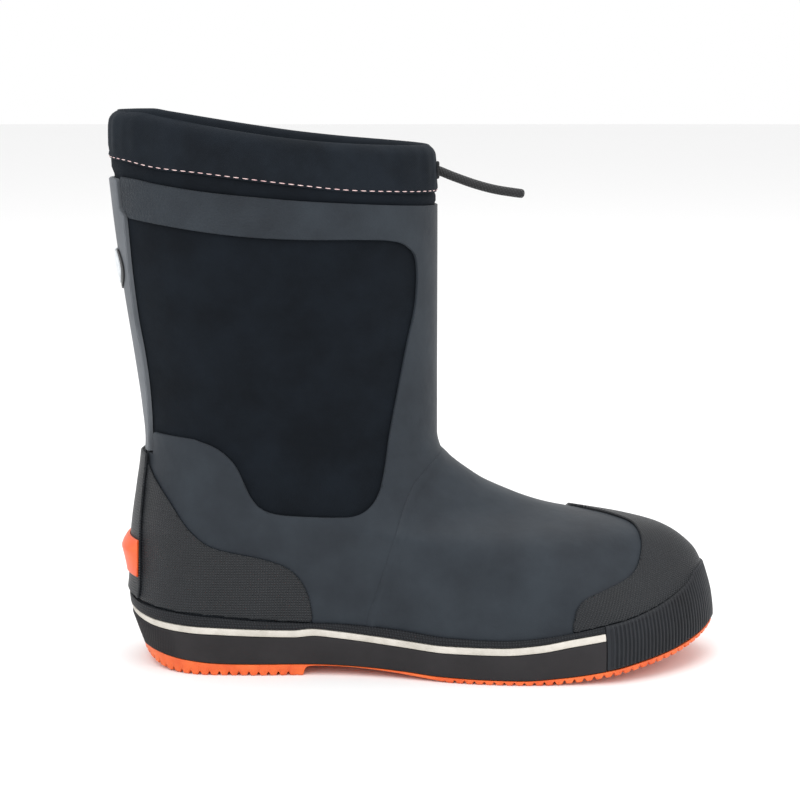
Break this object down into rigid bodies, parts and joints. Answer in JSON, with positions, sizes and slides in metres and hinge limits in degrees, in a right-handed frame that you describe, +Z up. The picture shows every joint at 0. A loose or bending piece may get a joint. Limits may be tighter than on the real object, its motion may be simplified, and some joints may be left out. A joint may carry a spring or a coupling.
{
  "type": "rubber and neoprene ankle boot",
  "caption": "Pull-on waterproof boot of rubber over a neoprene sock, with a cord in its collar, side windows, toe bumper, heel kick spur and gripping outsole.",
  "frame": {"origin": "on the ground under the middle of the boot's own box, its free cord end left out", "axes": "+X from heel to toe, +Z up, -Y the outer side of a right foot"},
  "size_m": [0.3102, 0.109, 0.2825],
  "materials": {
    "charcoal_rubber": "matt moulded rubber, soft sheen",
    "dark_rubber": "matt textured tape",
    "white_rubber": "matt, warm off-white",
    "orange_rubber": "semi-matt, translucent-looking sole rubber",
    "navy_neoprene": "knit-faced neoprene foam",
    "collar_fabric": "folded stretch binding",
    "grey_foam": "soft foam",
    "fibre_board": "cellulose board, raw",
    "stiffener_board": "resin-stiffened fabric",
    "black_cord": "braided cord",
    "badge_black": "smooth",
    "badge_pale": "smooth, domed"
  },
  "bodies": {
    "boot": {"outsole": "orange_rubber", "heel_filler": "grey_foam", "insole_board": "fibre_board", "bootie": "navy_neoprene", "vamp": "charcoal_rubber", "shaft_frame": "charcoal_rubber", "backstay": "charcoal_rubber", "heel_counter": "charcoal_rubber", "heel_strip": "charcoal_rubber", "kick_spur": "orange_rubber", "toe_cap": "charcoal_rubber", "toe_puff": "stiffener_board", "heel_stiffener": "stiffener_board", "lower_foxing": "dark_rubber", "stripe": "white_rubber", "upper_foxing": "dark_rubber", "toe_bumper": "dark_rubber", "badge_rim": "badge_black", "badge_face": "badge_pale", "collar_hem": "collar_fabric", "cord_eyelet": "badge_black", "drawcord_loop": "black_cord"},
    "footbed": {"footbed": "grey_foam"},
    "drawcord": {"drawcord_tail": "black_cord"}
  },
  "joints": [
    {"name": "footbed_lift", "type": "hinge", "parent": "boot", "child": "footbed", "pos_m": [0.14296, -0.00025, 0.02249], "axis": [0, 1, 0], "range_deg": [0, 10]},
    {"name": "drawcord_swing", "type": "hinge", "parent": "boot", "child": "drawcord", "pos_m": [0.01259, -0.00025, 0.2512], "axis": [0, 1, 0], "range_deg": [-45, 60], "stiffness_Nm_per_rad": 0.008}
  ]
}
